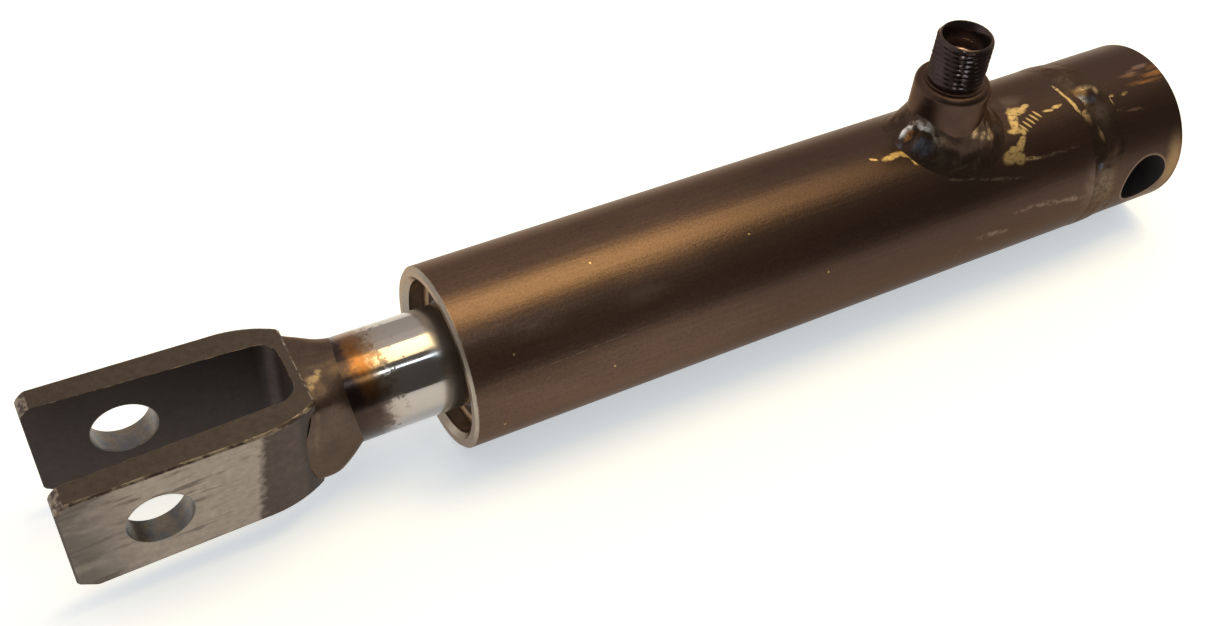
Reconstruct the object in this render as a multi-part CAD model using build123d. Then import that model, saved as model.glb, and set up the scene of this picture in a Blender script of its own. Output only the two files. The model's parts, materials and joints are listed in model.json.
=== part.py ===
from build123d import *
import math
import os

# Single-acting hydraulic ram with a plug eye at the rear and a fork clevis on the rod.
# Millimetres. The origin is the centre of the rear pin bore, +X runs along the ram
# towards the clevis, +Z points out of the oil port, and both pin bores lie along Y.
# The ram is modelled fully closed.

# ---- driving dimensions ----
barrel_radius = 25.0
bore_radius = 20.0
rod_radius = 14.0
mouth_x = 224.5  # open end of the barrel
clevis_back_x = 261.0
clevis_pin_x = 302.5  # closed length, pin to pin
clevis_end_x = 324.5
stroke = 125.0

# rear plug, which is also the rear eye
plug_rear_x = -14.5
plug_radius = 24.6
plug_shoulder_x = 14.5  # butts on the barrel's rear end
plug_spigot_end_x = 24.5
plug_spigot_radius = 19.95
rear_pin_bore_radius = 8.25
rear_edge_chamfer = 1.0
rear_weld_depth = 3.0
rear_weld_crown = 0.4  # how far the bead stands above the barrel

# barrel mouth, where the gland sits in a wider counterbore
seat_x = 182.0
seat_radius = 21.0
mouth_outer_chamfer = 0.8
mouth_lead_in = 1.4
wire_radius = 1.5
wire_x = 217.2
wire_gap_angle = 20.0  # degrees left open between the wire ring's ends
wire_groove_gap = 0.05

# oil port: a threaded nipple with a 24 degree cone, M16 x 1.5
port_x = 66.5
port_tip_z = 56.5
thread_radius = 8.0
thread_start_z = 44.8
thread_chamfer = 0.9
relief_radius = 7.0
collar_radius = 10.75
collar_top_z = 42.4
collar_edge_radius = 2.4
oil_hole_radius = 4.0
socket_radius = 5.05
socket_floor_z = 49.0
socket_mouth_z = 52.6
cone_half_angle = 12.0
nipple_foot_z = 18.0  # below the barrel's surface, which copes the foot
port_weld_height = 6.4  # leg of the fillet weld, up the collar
port_weld_width = 5.2  # its other leg, along the barrel
port_weld_lip = 0.8  # left square at both ends of its sloping face

# head gland
gland_clearance = 0.04
gland_rear_chamfer = 1.0
gland_shoulder_x = wire_x - wire_radius
gland_nose_x = 218.2
gland_nose_radius = 18.9
gland_bore_radius = 14.3
guide_width = 5.5
guide_thickness = 2.5
gland_rear_guide_x = 184.5
gland_front_guide_x = 203.5
seal_groove_x = 193.5
seal_groove_length = 7.0
seal_groove_radius = 18.0
wiper_groove_x = 211.8
wiper_groove_length = 4.2
wiper_groove_radius = 17.3
wiper_lip_x = 220.0
o_ring_groove_x = 186.4
o_ring_groove_length = 4.6
o_ring_groove_radius = 18.5
backup_width = 1.5
side_gap = 0.05  # gap beside a ring in its groove
running_gap = 0.04  # radial gap of a ring that slides or turns

# guide piston on the rod's rear spigot
rod_rear_x = 25.5
rod_thread_radius = 8.0
rod_spigot_radius = 9.0
rod_shoulder_radius = 12.0
piston_rear_x = 38.5
piston_front_x = seat_x - 0.5 - stroke
piston_radius = 19.6
piston_edge_chamfer = 0.8
piston_guide_thickness = 2.2
piston_rear_guide_x = 40.4
piston_front_guide_x = 49.1
oil_passage_count = 6
oil_passage_pitch_radius = 15.0
oil_passage_radius = 2.0
guide_slit = 1.2  # width of the cut that lets a guide ring open
washer_thickness = 2.0
washer_radius = 13.0
nut_thickness = 10.0
nut_across_flats = 24.0

# fork clevis
clevis_back_half_height = 15.6
clevis_end_half_height = 16.4
clevis_top_clip = 2.4
clevis_bottom_clip = 4.4
clevis_bottom_clip_height = 3.0
clevis_end_half_width = 18.9
clevis_side_half_width = 18.0
clevis_side_x = 278.0  # where the straight sides turn in towards the back
clevis_back_half_width = 13.3
clevis_corner_bulge = 16.7  # half-width midway round the turned-in corner
clevis_corner_bulge_x = 268.4
slot_end_half_width = 12.5
slot_base_half_width = 9.7
slot_base_x = 263.9
slot_corner_radius = 5.0
clevis_pin_bore_radius = 8.1
clevis_edge_chamfer = 0.6

# weld between rod and clevis
clevis_weld_start_x = 248.6
clevis_weld_mid_x = 253.2
clevis_weld_mid_radius = 16.9
clevis_weld_back_radius = 19.2
clevis_weld_end_x = 263.6
clevis_weld_half_width = 16.8
clevis_weld_half_height = 15.3
clevis_weld_corner_radius = 12.0


# ---- helpers ----
def turned(*points):
    """Solid turned about the X axis from an outline of (x, radius) points."""
    return revolve(Plane.XZ * make_face(Polyline(*points, close=True)), Axis.X)


def ring(start_x, length, inner_radius, outer_radius):
    """Plain ring of rectangular section about the X axis."""
    end_x = start_x + length
    return turned(
        (start_x, inner_radius),
        (start_x, outer_radius),
        (end_x, outer_radius),
        (end_x, inner_radius),
    )


def round_ring(centre_x, centre_radius, section_radius):
    """Ring of round section about the X axis."""
    section = Pos(centre_x, centre_radius) * Circle(section_radius)
    return revolve(Plane.XZ * section, Axis.X)


def turned_port(*points):
    """Solid turned about the port's axis from an outline of (radius, z) points."""
    profile = make_face(Polyline(*points, close=True))
    return Pos(port_x, 0, 0) * revolve(Plane.XZ * profile, Axis.Z)


def cross_bore(centre_x, radius):
    """Long cylinder along Y, to be cut out as a pin bore."""
    return Pos(centre_x, 0, 0) * Rot(90, 0, 0) * Cylinder(radius, 4 * barrel_radius)


def save(name, shape):
    """Write one node."""
    export_step(shape, f"parts/{name}.step")


# ---- barrel group ----
def barrel_tube():
    body = turned(
        (plug_shoulder_x, bore_radius),
        (plug_shoulder_x, barrel_radius - rear_weld_depth),
        (plug_shoulder_x + rear_weld_depth, barrel_radius),
        (mouth_x - mouth_outer_chamfer, barrel_radius),
        (mouth_x, barrel_radius - mouth_outer_chamfer),
        (mouth_x, seat_radius + mouth_lead_in),
        (mouth_x - mouth_lead_in, seat_radius),
        (seat_x, seat_radius),
        (seat_x, bore_radius),
    )
    body -= round_ring(wire_x, seat_radius, wire_radius + wire_groove_gap)
    oil_hole = Pos(port_x, 0, barrel_radius) * Cylinder(oil_hole_radius, barrel_radius)
    return body - oil_hole


def rear_plug():
    root_radius = barrel_radius - rear_weld_depth
    body = turned(
        (plug_rear_x, 0),
        (plug_rear_x, plug_radius - rear_edge_chamfer),
        (plug_rear_x + rear_edge_chamfer, plug_radius),
        (plug_shoulder_x - (plug_radius - root_radius), plug_radius),
        (plug_shoulder_x, root_radius),
        (plug_shoulder_x, plug_spigot_radius),
        (plug_spigot_end_x - rear_edge_chamfer, plug_spigot_radius),
        (plug_spigot_end_x, plug_spigot_radius - rear_edge_chamfer),
        (plug_spigot_end_x, 0),
    )
    return body - cross_bore(0, rear_pin_bore_radius)


def rear_weld_bead():
    root_radius = barrel_radius - rear_weld_depth
    rear = (plug_shoulder_x - (plug_radius - root_radius), plug_radius)
    front = (plug_shoulder_x + rear_weld_depth, barrel_radius)
    root = (plug_shoulder_x, root_radius)
    crown = ThreePointArc(rear, (plug_shoulder_x, barrel_radius + rear_weld_crown), front)
    outline = [crown, Line(front, root), Line(root, rear)]
    return revolve(Plane.XZ * make_face(outline), Axis.X)


def port_nipple():
    cone_depth = port_tip_z - socket_mouth_z
    cone_radius = socket_radius + cone_depth * math.tan(math.radians(cone_half_angle))
    outer = turned_port(
        (0, nipple_foot_z),
        (collar_radius, nipple_foot_z),
        (collar_radius, collar_top_z),
        (relief_radius, collar_top_z),
        (relief_radius, thread_start_z - thread_chamfer),
        (thread_radius, thread_start_z),
        (thread_radius, port_tip_z - thread_chamfer),
        (thread_radius - thread_chamfer, port_tip_z),
        (0, port_tip_z),
    )
    collar_edges = outer.edges().filter_by(GeomType.CIRCLE)
    collar_edge = collar_edges.filter_by_position(Axis.Z, collar_top_z, collar_top_z)
    outer = fillet(collar_edge.sort_by(SortBy.RADIUS)[-1:], collar_edge_radius)
    inner = turned_port(
        (0, 0),
        (oil_hole_radius, 0),
        (oil_hole_radius, socket_floor_z),
        (socket_radius, socket_floor_z),
        (socket_radius, socket_mouth_z),
        (cone_radius, port_tip_z),
        (0, port_tip_z),
    )
    return outer - inner - barrel_envelope()


def barrel_envelope(growth=0.0):
    """Outside of the barrel as a full cylinder, for coping what is welded onto it."""
    radius = barrel_radius + growth
    return turned((0, 0), (0, radius), (mouth_x, radius), (mouth_x, 0))


def port_column(radius):
    """Round column about the port's axis, from inside the barrel up to the collar's top."""
    return turned_port(
        (0, nipple_foot_z),
        (radius, nipple_foot_z),
        (radius, collar_top_z),
        (0, collar_top_z),
    )


def port_weld_bead():
    """Fillet weld that follows the saddle where the collar meets the barrel."""
    block = port_column(collar_radius + port_weld_width) & barrel_envelope(port_weld_height)
    outer_edge = block.edges().sort_by(SortBy.LENGTH)[-1]
    block = chamfer(outer_edge, port_weld_height - port_weld_lip, port_weld_width - port_weld_lip)
    return block - port_column(collar_radius) - barrel_envelope()


def head_gland():
    outer_radius = seat_radius - gland_clearance
    body = turned(
        (seat_x, gland_bore_radius),
        (seat_x, outer_radius - gland_rear_chamfer),
        (seat_x + gland_rear_chamfer, outer_radius),
        (gland_shoulder_x, outer_radius),
        (gland_shoulder_x, gland_nose_radius),
        (gland_nose_x, gland_nose_radius),
        (gland_nose_x, wiper_mouth_radius()),
        (wiper_groove_x, wiper_mouth_radius()),
        (wiper_groove_x, gland_bore_radius),
    )
    guide_radius = rod_radius + guide_thickness
    body -= ring(gland_rear_guide_x, guide_width, 0, guide_radius)
    body -= ring(gland_front_guide_x, guide_width, 0, guide_radius)
    body -= ring(seal_groove_x, seal_groove_length, 0, seal_groove_radius)
    body -= ring(wiper_groove_x, wiper_groove_length, 0, wiper_groove_radius)
    body -= ring(o_ring_groove_x, o_ring_groove_length, o_ring_groove_radius, seat_radius)
    return body


def wiper_mouth_radius():
    """Radius of the gland's nose opening, in front of the wiper's groove."""
    return 0.5 * (wiper_groove_radius + rod_radius)


def gland_retaining_ring():
    """Open wire ring, its gap on the -Y side of the mouth, a little below the middle."""
    section = Pos(wire_x, 0, seat_radius) * Rot(90, 0, 0) * Circle(wire_radius)
    wire = revolve(section, Axis.X, 360 - wire_gap_angle)
    return Rot(-70, 0, 0) * wire


def gland_o_ring():
    section_radius = 0.5 * (seat_radius - o_ring_groove_radius) - side_gap
    centre_radius = 0.5 * (seat_radius + o_ring_groove_radius)
    return round_ring(o_ring_groove_x + section_radius + side_gap, centre_radius, section_radius)


def gland_backup_ring():
    start_x = o_ring_groove_x + o_ring_groove_length - side_gap - backup_width
    inner = o_ring_groove_radius + side_gap
    return ring(start_x, backup_width, inner, seat_radius - side_gap)


def rod_guide_ring(groove_x):
    outer = rod_radius + guide_thickness - running_gap
    length = guide_width - 2 * side_gap
    return ring(groove_x + side_gap, length, rod_radius + running_gap, outer)


def rod_seal():
    """U-cup whose open side faces the oil."""
    start = seal_groove_x + side_gap
    end = seal_groove_x + seal_groove_length - side_gap
    inner = rod_radius + running_gap
    outer = seal_groove_radius - running_gap
    middle = 0.5 * (inner + outer)
    lip = 1.2
    return turned(
        (start, inner),
        (start, inner + lip),
        (start + 2.4 * lip, middle),
        (start, outer - lip),
        (start, outer),
        (end, outer),
        (end, inner),
    )


def rod_wiper():
    """Wiper with its lip standing out of the gland's nose."""
    start = wiper_groove_x + side_gap
    shoulder = wiper_groove_x + wiper_groove_length - side_gap
    inner = rod_radius + running_gap
    neck = wiper_mouth_radius() - running_gap
    return turned(
        (start, inner),
        (start, wiper_groove_radius - running_gap),
        (shoulder, wiper_groove_radius - running_gap),
        (shoulder, neck),
        (gland_nose_x, neck),
        (wiper_lip_x, inner + 0.5),
        (wiper_lip_x, inner),
    )


# ---- rod group ----
def rod():
    return turned(
        (rod_rear_x, 0),
        (rod_rear_x, rod_thread_radius - 1.0),
        (rod_rear_x + 1.0, rod_thread_radius),
        (piston_rear_x, rod_thread_radius),
        (piston_rear_x, rod_spigot_radius),
        (piston_front_x, rod_spigot_radius),
        (piston_front_x, rod_shoulder_radius),
        (piston_front_x + rod_radius - rod_shoulder_radius, rod_radius),
        (clevis_back_x, rod_radius),
        (clevis_back_x, 0),
    )


def piston():
    body = turned(
        (piston_rear_x, rod_spigot_radius),
        (piston_rear_x, piston_radius - piston_edge_chamfer),
        (piston_rear_x + piston_edge_chamfer, piston_radius),
        (piston_front_x - piston_edge_chamfer, piston_radius),
        (piston_front_x, piston_radius - piston_edge_chamfer),
        (piston_front_x, rod_spigot_radius),
    )
    floor_radius = bore_radius - piston_guide_thickness
    body -= ring(piston_rear_guide_x, guide_width, floor_radius, bore_radius)
    body -= ring(piston_front_guide_x, guide_width, floor_radius, bore_radius)
    passage = Pos(piston_rear_x, 0, 0) * Rot(0, 90, 0) * Cylinder(oil_passage_radius, 60)
    step = 360 / oil_passage_count
    for index in range(oil_passage_count):
        body -= Rot(index * step, 0, 0) * Pos(0, 0, oil_passage_pitch_radius) * passage
    return body


def piston_guide_ring(groove_x):
    """Split guide ring that carries the piston in the barrel's bore."""
    inner = bore_radius - piston_guide_thickness + running_gap
    length = guide_width - 2 * side_gap
    body = ring(groove_x + side_gap, length, inner, bore_radius - running_gap)
    slit = Pos(groove_x + guide_width / 2, 0, bore_radius) * Rot(0, 0, 30)
    return body - slit * Box(3 * guide_width, guide_slit, 2 * guide_width)


def piston_washer():
    start_x = piston_rear_x - washer_thickness
    return ring(start_x, washer_thickness, rod_thread_radius, washer_radius)


def piston_nut():
    start_x = piston_rear_x - washer_thickness - nut_thickness
    hexagon = RegularPolygon(nut_across_flats / 2, 6, major_radius=False)
    profile = hexagon - Circle(rod_thread_radius)
    return Pos(start_x, 0, 0) * extrude(Plane.YZ * profile, nut_thickness)


def clevis_side_profile():
    """Clevis seen along Y: nearly square, with its end corners clipped."""
    return make_face(
        Polyline(
            (clevis_back_x, -clevis_back_half_height),
            (clevis_end_x - clevis_bottom_clip, -clevis_end_half_height),
            (clevis_end_x, -clevis_end_half_height + clevis_bottom_clip_height),
            (clevis_end_x, clevis_end_half_height - clevis_top_clip),
            (clevis_end_x - clevis_top_clip, clevis_end_half_height),
            (clevis_back_x, clevis_back_half_height),
            close=True,
        )
    )


def clevis_plan(half_sign):
    """Outer plan of the clevis on one side of its axis, seen along Z."""
    end = (clevis_end_x, half_sign * clevis_end_half_width)
    side = (clevis_side_x, half_sign * clevis_side_half_width)
    bulge = (clevis_corner_bulge_x, half_sign * clevis_corner_bulge)
    back = (clevis_back_x, half_sign * clevis_back_half_width)
    return [
        Line((clevis_end_x, 0), end),
        Line(end, side),
        ThreePointArc(side, bulge, back),
        Line(back, (clevis_back_x, 0)),
        Line((clevis_back_x, 0), (clevis_end_x, 0)),
    ]


def clevis_envelope():
    """Clevis without its slot and pin bore."""
    height = 2 * clevis_end_half_height + 2
    plan = make_face(clevis_plan(1)) + make_face(clevis_plan(-1))
    tall = Pos(0, 0, -height / 2) * extrude(plan, height)
    width = 2 * clevis_end_half_width + 2
    side = Plane.XZ * clevis_side_profile()
    wide = Pos(0, width / 2, 0) * extrude(side, width)
    return tall & wide


def clevis_slot():
    """Slot between the ears, narrower towards its rounded base."""
    reach = 10.0  # past the open end, so that the cut runs out
    widening = (slot_end_half_width - slot_base_half_width) / (clevis_end_x - slot_base_x)
    far_half_width = slot_end_half_width + reach * widening
    plan = make_face(
        Polyline(
            (slot_base_x, -slot_base_half_width),
            (clevis_end_x + reach, -far_half_width),
            (clevis_end_x + reach, far_half_width),
            (slot_base_x, slot_base_half_width),
            close=True,
        )
    )
    plan = fillet(plan.vertices().sort_by(Axis.X)[:2], slot_corner_radius)
    height = 4 * clevis_end_half_height
    return Pos(0, 0, -height / 2) * extrude(plan, height)


def clevis():
    outside = clevis_envelope()
    outside = chamfer(outside.edges().filter_by(GeomType.LINE), clevis_edge_chamfer)
    return outside - clevis_slot() - cross_bore(clevis_pin_x, clevis_pin_bore_radius)


def clevis_weld_bead():
    start = (clevis_weld_start_x, rod_radius)
    middle = (clevis_weld_mid_x, clevis_weld_mid_radius)
    back = (clevis_back_x, clevis_weld_back_radius)
    end = (clevis_weld_end_x, clevis_weld_back_radius)
    end_floor = (clevis_weld_end_x, rod_radius)
    outline = [
        ThreePointArc(start, middle, back),
        Line(back, end),
        Line(end, end_floor),
        Line(end_floor, start),
    ]
    body = revolve(Plane.XZ * make_face(outline), Axis.X)
    section = RectangleRounded(
        2 * clevis_weld_half_width, 2 * clevis_weld_half_height, clevis_weld_corner_radius
    )
    bar = Pos(clevis_weld_start_x - 1, 0, 0) * extrude(Plane.YZ * section, 2 * rod_radius)
    return (body & bar) - clevis_envelope()


os.makedirs("parts", exist_ok=True)
save("barrel_tube", barrel_tube())
save("rear_plug", rear_plug())
save("rear_weld_bead", rear_weld_bead())
save("port_nipple", port_nipple())
save("port_weld_bead", port_weld_bead())
save("head_gland", head_gland())
save("gland_retaining_ring", gland_retaining_ring())
save("gland_o_ring", gland_o_ring())
save("gland_backup_ring", gland_backup_ring())
save("rod_guide_ring_rear", rod_guide_ring(gland_rear_guide_x))
save("rod_guide_ring_front", rod_guide_ring(gland_front_guide_x))
save("rod_seal", rod_seal())
save("rod_wiper", rod_wiper())
save("rod", rod())
save("piston", piston())
save("piston_guide_ring_rear", piston_guide_ring(piston_rear_guide_x))
save("piston_guide_ring_front", piston_guide_ring(piston_front_guide_x))
save("piston_washer", piston_washer())
save("piston_nut", piston_nut())
save("clevis", clevis())
save("clevis_weld_bead", clevis_weld_bead())
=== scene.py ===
import json
import math

import bmesh
import bpy
from mathutils import Matrix, Vector, noise


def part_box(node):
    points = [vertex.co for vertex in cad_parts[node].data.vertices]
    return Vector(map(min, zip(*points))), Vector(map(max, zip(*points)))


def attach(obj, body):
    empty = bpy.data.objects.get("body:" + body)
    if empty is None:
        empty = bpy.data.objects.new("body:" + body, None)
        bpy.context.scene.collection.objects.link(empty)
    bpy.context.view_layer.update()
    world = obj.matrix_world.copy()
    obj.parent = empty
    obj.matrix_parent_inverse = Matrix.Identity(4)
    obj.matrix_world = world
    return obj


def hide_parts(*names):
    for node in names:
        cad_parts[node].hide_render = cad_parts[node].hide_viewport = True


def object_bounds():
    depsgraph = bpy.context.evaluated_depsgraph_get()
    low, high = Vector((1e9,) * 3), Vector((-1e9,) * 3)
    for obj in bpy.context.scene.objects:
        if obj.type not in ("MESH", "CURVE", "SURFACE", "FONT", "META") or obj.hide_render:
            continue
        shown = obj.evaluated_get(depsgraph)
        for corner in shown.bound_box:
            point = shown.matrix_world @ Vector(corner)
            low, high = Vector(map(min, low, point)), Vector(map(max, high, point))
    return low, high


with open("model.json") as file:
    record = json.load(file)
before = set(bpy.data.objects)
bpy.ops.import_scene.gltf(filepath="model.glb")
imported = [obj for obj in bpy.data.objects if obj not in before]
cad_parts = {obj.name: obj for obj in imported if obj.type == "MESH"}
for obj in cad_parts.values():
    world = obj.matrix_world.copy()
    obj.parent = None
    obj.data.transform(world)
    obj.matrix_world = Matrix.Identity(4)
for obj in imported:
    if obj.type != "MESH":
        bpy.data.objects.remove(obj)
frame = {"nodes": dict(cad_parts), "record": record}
cad_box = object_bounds()

MM = 0.001

# Places read from the frame, in metres.
mounts = {mount["name"]: mount for mount in frame["record"]["mounts"]}
port_x = mounts["port_thread"]["pos_m"][0]
barrel_low, barrel_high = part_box("barrel_tube")
nipple_low, nipple_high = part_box("port_nipple")
clevis_low, clevis_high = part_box("clevis")
barrel_radius = barrel_high[1]
plug_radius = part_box("rear_plug")[1][1]
joint_x = barrel_low[0]  # where the plug butts on the tube
mouth_x = barrel_high[0]
tip_z = nipple_high[2]
thread_foot_z = tip_z - 13.75 * MM
thread_radius = mounts["port_thread"]["dims"]["r_mm"] * MM
socket_radius = mounts["port_tube_seat"]["dims"]["r_mm"] * MM
collar_radius = 0.5 * (nipple_high[0] - nipple_low[0])
rod_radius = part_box("rod")[1][1]
clevis_weld_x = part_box("clevis_weld_bead")[0][0]
rear_bore_radius = mounts["rear_pin_bore"]["dims"]["r_mm"] * MM


# ---------------------------------------------------------------- material graph
class Graph:
    """A material's node tree, written as short calls."""

    def __init__(self, name):
        self.material = bpy.data.materials.new(name)
        self.material.use_nodes = True
        self.tree = self.material.node_tree
        self.shader = self.tree.nodes["Principled BSDF"]
        self.place = self.add("ShaderNodeTexCoord").outputs["Object"]
        self.x, self.y, self.z = self.split(self.place)

    def add(self, kind, inputs=None, **settings):
        node = self.tree.nodes.new(kind)
        for key, value in settings.items():
            setattr(node, key, value)
        for key, value in (inputs or {}).items():
            self.feed(node.inputs[key], value)
        return node

    def feed(self, socket, value):
        if isinstance(value, bpy.types.NodeSocket):
            self.tree.links.new(value, socket)
        elif socket.type == "RGBA":
            socket.default_value = (*value, 1.0)
        else:
            socket.default_value = value

    def split(self, vector):
        node = self.add("ShaderNodeSeparateXYZ", {0: vector})
        return node.outputs[0], node.outputs[1], node.outputs[2]

    def math(self, operation, *values):
        node = self.add("ShaderNodeMath", operation=operation)
        for socket, value in zip(node.inputs, values):
            self.feed(socket, value)
        return node.outputs[0]

    def most(self, *values):
        """Largest of several masks."""
        result = values[0]
        for value in values[1:]:
            result = self.math("MAXIMUM", result, value)
        return result

    def both(self, *values):
        """Product of several masks."""
        result = values[0]
        for value in values[1:]:
            result = self.math("MULTIPLY", result, value)
        return result

    def distance(self, first, second):
        """Length of the vector with these two parts."""
        return self.math("SQRT", self.math("ADD", self.both(first, first), self.both(second, second)))

    def pushed(self, value, noise_value, reach):
        """value pushed up and down by noise, over reach in all."""
        centred = self.math("SUBTRACT", noise_value, 0.5)
        return self.math("ADD", value, self.both(centred, reach))

    def scaled(self, x, y, z, place=None):
        """The place stretched, so that noise on it is drawn out where the scale is small."""
        inputs = {"Scale": (x, y, z), "Vector": place or self.place}
        return self.add("ShaderNodeMapping", inputs).outputs[0]

    def noise(self, scale, detail=4.0, place=None, rough=0.55):
        """Noise with scale in lumps per metre."""
        inputs = {"Scale": scale, "Detail": detail, "Roughness": rough, "Vector": place or self.place}
        return self.add("ShaderNodeTexNoise", inputs).outputs["Fac"]

    def steps(self, value, low, high):
        """0 at low, 1 at high, smooth between; low may be above high."""
        inputs = {"Value": value, "From Min": low, "From Max": high}
        return self.add("ShaderNodeMapRange", inputs, interpolation_type="SMOOTHSTEP").outputs["Result"]

    def span(self, value, low, high):
        """value from 0..1 spread over low..high."""
        inputs = {"Value": value, "To Min": low, "To Max": high}
        return self.add("ShaderNodeMapRange", inputs).outputs["Result"]

    def blend(self, share, first, second, how="MIX"):
        """Colour mix: first where share is 0, second where it is 1."""
        inputs = {"Factor": share, 6: first, 7: second}
        return self.add("ShaderNodeMix", inputs, data_type="RGBA", blend_type=how).outputs[2]

    def tinted(self, colour, value, low, high):
        """colour made darker or lighter by value, from low times to high times."""
        grey = self.span(value, low, high)
        node = self.add("ShaderNodeVectorMath", {0: colour, 1: grey}, operation="MULTIPLY")
        return node.outputs[0]

    def bump(self, height, distance, base=None):
        inputs = {"Height": height, "Distance": distance}
        if base is not None:
            inputs["Normal"] = base
        return self.add("ShaderNodeBump", inputs).outputs["Normal"]

    def unrolled(self, radius):
        """Length along X and arc length from the top towards +Y, for a surface about X."""
        angle = self.math("ARCTAN2", self.y, self.z)
        arc = self.math("MULTIPLY", angle, radius)
        return self.add("ShaderNodeCombineXYZ", {0: self.x, 1: arc}).outputs[0]

    def ragged(self, place, scale, reach):
        """place pushed about by noise, so that what is drawn on it gets ragged edges."""
        inputs = {"Scale": scale, "Detail": 5.0, "Vector": self.place}
        cloud = self.add("ShaderNodeTexNoise", inputs).outputs["Color"]
        centred = self.add("ShaderNodeVectorMath", {0: cloud, 1: (0.5, 0.5, 0.5)}, operation="SUBTRACT")
        inputs = {0: centred.outputs[0], 1: (reach, reach, 0.0), 2: place}
        return self.add("ShaderNodeVectorMath", inputs, operation="MULTIPLY_ADD").outputs[0]

    def oval(self, place, centre, half_length, half_width, tilt=0.0, soft=0.3):
        """Mask that is 1 inside an oval on an unrolled surface."""
        inputs = {
            "Location": (*centre, 0.0),
            "Rotation": (0.0, 0.0, math.radians(tilt)),
            "Scale": (half_length, half_width, 1.0),
            "Vector": place,
        }
        local = self.add("ShaderNodeMapping", inputs, vector_type="TEXTURE").outputs[0]
        distance = self.add("ShaderNodeVectorMath", {0: local}, operation="LENGTH").outputs["Value"]
        return self.steps(distance, 1.0 + soft, 1.0 - soft)

    def finish(self, colour, roughness, metallic, normal=None, **fixed):
        self.feed(self.shader.inputs["Base Color"], colour)
        self.feed(self.shader.inputs["Roughness"], roughness)
        self.feed(self.shader.inputs["Metallic"], metallic)
        if normal is not None:
            self.feed(self.shader.inputs["Normal"], normal)
        for key, value in fixed.items():
            self.feed(self.shader.inputs[key.replace("_", " ")], value)
        return self.material


# ---------------------------------------------------------------- materials
MILL_SCALE = (0.106, 0.064, 0.047)
# dark scale on the plug; also painted shade towards the barrel's rear
DARK_SCALE_AND_SHADE = (0.040, 0.023, 0.020)
BARE_STEEL = (0.60, 0.42, 0.19)
DULL_STEEL = (0.26, 0.19, 0.15)
RUST = (0.32, 0.145, 0.05)
GLANCING = (0.62, 0.50, 0.42)  # scale stays brown even where it is seen edge on
MACHINED = (0.37, 0.32, 0.265)

# Tables of marks on round surfaces: place along X in mm, degrees from the top towards +Y,
# half length along X and half width in mm, tilt in degrees.
BARREL_SCUFFS = [
    (92.9, 9.5, 1.2, 0.4, -27),
    (87.0, 11.4, 3.4, 1.0, 4),
    (83.4, 12.8, 2.0, 0.85, -40),
    (81.8, 18.8, 1.9, 0.5, -78),
    (41.8, 8.6, 3.1, 1.4, -2),
    (38.2, 7.2, 1.9, 0.7, 12),
    (44.3, 13.4, 3.9, 1.5, 68),
    (45.6, 22.2, 2.8, 1.0, -4),
    (43.6, 24.6, 0.9, 0.9, 0),
    (46.0, 31.2, 2.6, 1.1, 38),
    (48.8, 35.0, 2.6, 1.4, 0),
    (51.0, 37.6, 3.2, 1.9, 12),
    (48.4, 39.6, 2.0, 2.2, 0),
    (44.2, 43.2, 3.0, 0.5, -8),
    (31.7, 15.8, 1.8, 0.45, -10),
    (28.2, 14.8, 2.0, 0.55, 4),
    (23.6, 4.0, 0.5, 2.8, 6),
    (22.6, 16.5, 0.6, 3.8, 8),
]
BARREL_SCRATCHES = [
    (36.5, 45.1, 8.6, 0.5, -2),
    (69.0, 41.3, 5.6, 0.45, -13),
    (56.5, 49.3, 7.8, 0.5, -14),
    (67.0, 34.1, 2.4, 0.7, 0),
    (39.0, 78.6, 7.6, 0.8, -9),
    (30.0, 82.0, 4.8, 1.0, -10),
    (48.7, 76.3, 3.2, 0.6, 2),
    (59.5, 88.0, 5.4, 1.0, -7),
    (71.3, 96.0, 0.25, 3.0, -20),
    (191.0, 64.0, 16.0, 0.12, 2),
]
GRIND_MARKS = [(42.7 - 1.7 * step, 22 - 1.6 * step, 0.38, 1.6, 32) for step in range(5)]  # a row of strokes
BARREL_SMUDGES = [
    (204.5, 42.0, 6.6, 1.8, -3),
    (173.0, 44.0, 6.6, 2.0, 3),
    (41.5, -1.5, 4.5, 2.2, -4),
    (22.0, 78.0, 3.0, 7.0, 0),
]
BARREL_SPECKS = [  # only the places: all specks are one size
    (183.9, 15.2),
    (211.7, 51.7),
    (184.9, 82.1),
    (216.2, 98.9),
    (139.0, 30.0),
    (118.0, 70.0),
]
PLUG_SCUFFS = [(9.5, 23.3, 0.5, 1.2, 5), (8.2, 19.8, 0.9, 0.4, 0), (3.6, 21.3, 1.5, 0.35, 0)]
PLUG_PALE = [(-4.2, 7.0, 4.2, 0.9, 5), (4.2, 33.4, 4.4, 0.55, -12), (-8.0, 4.6, 3.0, 0.7, 4)]
PLUG_RUST = [(-7.5, 12.4, 6.4, 0.85, -11), (-7.0, 17.8, 5.4, 0.7, -7), (-12.0, 12.5, 2.4, 2.2, 0)]
# painted highlight: golden-brown patch on the plug's lower rim
PLUG_RIM_HIGHLIGHT = [(-11.0, 84.0, 2.8, 8.5, 0)]
# painted highlight: white glints painted on the port weld's blob
PORT_WELD_GLINTS = [(81.3, 2.2, 0.8, 0.6, 0), (79.9, 2.6, 0.6, 0.5, 0), (77.4, 8.2, 0.35, 1.5, 35)]
PORT_WELD_SILVER = [(78.0, 5.0, 0.5, 1.9, 30), (76.0, 12.0, 0.4, 2.2, 20), (80.8, 3.6, 1.1, 0.7, 0)]
PORT_WELD_ORANGE = [(80.7, 6.0, 0.9, 0.7, 0)]
PORT_WELD_BLUE = [(79.6, 13.5, 1.6, 1.1, 10), (78.0, 17.6, 1.9, 1.1, 0), (84.0, 5.6, 1.3, 1.0, 0)]
PORT_WELD_GOLD = [(63.4, 20.0, 1.3, 0.8, 0), (60.6, 21.5, 1.2, 0.7, 20), (57.0, 21.5, 1.6, 1.1, 0)]
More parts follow.
